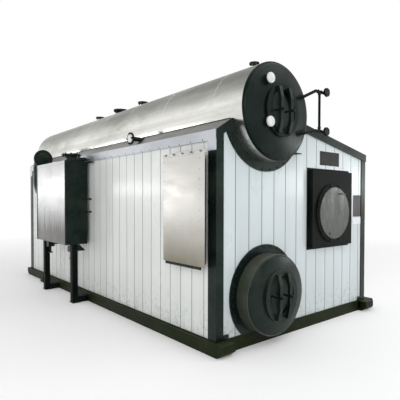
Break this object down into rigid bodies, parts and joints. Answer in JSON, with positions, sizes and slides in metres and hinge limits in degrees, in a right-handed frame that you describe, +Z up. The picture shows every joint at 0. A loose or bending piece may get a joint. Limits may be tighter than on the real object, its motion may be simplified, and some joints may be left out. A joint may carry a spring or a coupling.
{
  "type": "industrial steam boiler",
  "caption": "Skid-mounted water-tube steam boiler: ribbed white casing, stainless steam drum sunk in the roof, mud drum below, burner opening, side economizer.",
  "frame": {"origin": "on the ground at the middle of the plan bounding box", "axes": "+X to the right of the burner front, +Y from the burner front to the rear along both drums, +Z up"},
  "size_m": [3.55, 6.844, 3.24],
  "materials": {
    "casing_white": "glossy white coil-coated sheet",
    "black_paint": "black-green enamel, semi-gloss",
    "skid_paint": "olive-black enamel, satin",
    "stainless": "cold-rolled stainless sheet, brushed",
    "galvanised": "folded zinc-coated sheet",
    "grey_paint": "grey primer, satin",
    "cap_white": "white plastic shipping cap",
    "plate_metal": "blank satin plate",
    "refractory": "cast refractory, matt"
  },
  "bodies": {
    "root": {"burner_box": "black_paint", "burner_cover": "grey_paint", "burner_ring": "black_paint", "burner_throat": "refractory", "cross_beam_front": "skid_paint", "cross_beam_rear": "skid_paint", "cross_beam_second": "skid_paint", "cross_beam_third": "skid_paint", "drain_valve_front": "black_paint", "drain_valve_rear": "black_paint", "eave_trim_left": "galvanised", "eave_trim_right": "galvanised", "economizer_casing": "stainless", "economizer_inlet": "black_paint", "economizer_leg_front": "black_paint", "economizer_leg_rear": "black_paint", "economizer_outlet": "black_paint", "economizer_plate_front": "black_paint", "economizer_plate_rear": "black_paint", "feed_nozzle": "black_paint", "flashing_left": "galvanised", "floor_plate": "skid_paint", "flue_bar": "galvanised", "flue_cover": "stainless", "flue_duct": "black_paint", "level_column": "black_paint", "mud_collar_front": "black_paint", "mud_collar_rear": "black_paint", "mud_drum_shell": "black_paint", "mud_head_front": "black_paint", "mud_head_rear": "black_paint", "mud_manhole_front": "black_paint", "mud_manhole_rear": "black_paint", "nozzle_covers": "cap_white", "post_front_left": "black_paint", "post_front_right": "black_paint", "post_rear_left": "black_paint", "post_rear_right": "black_paint", "rake_front": "black_paint", "rake_rear": "black_paint", "roof_right": "galvanised", "safety_valve_nozzle_front": "black_paint", "safety_valve_nozzle_rear": "black_paint", "skid_left": "skid_paint", "skid_right": "skid_paint", "steam_collar_front": "black_paint", "steam_collar_rear": "black_paint", "steam_drum_jacket": "stainless", "steam_drum_shell": "black_paint", "steam_head_front": "black_paint", "steam_head_rear": "black_paint", "steam_manhole_front": "black_paint", "steam_manhole_rear": "black_paint", "steam_outlet": "black_paint", "vent_nozzle": "black_paint", "wall_front": "casing_white", "wall_left": "casing_white", "wall_plates": "plate_metal", "wall_rear": "casing_white", "wall_right": "casing_white"}
  },
  "joints": []
}
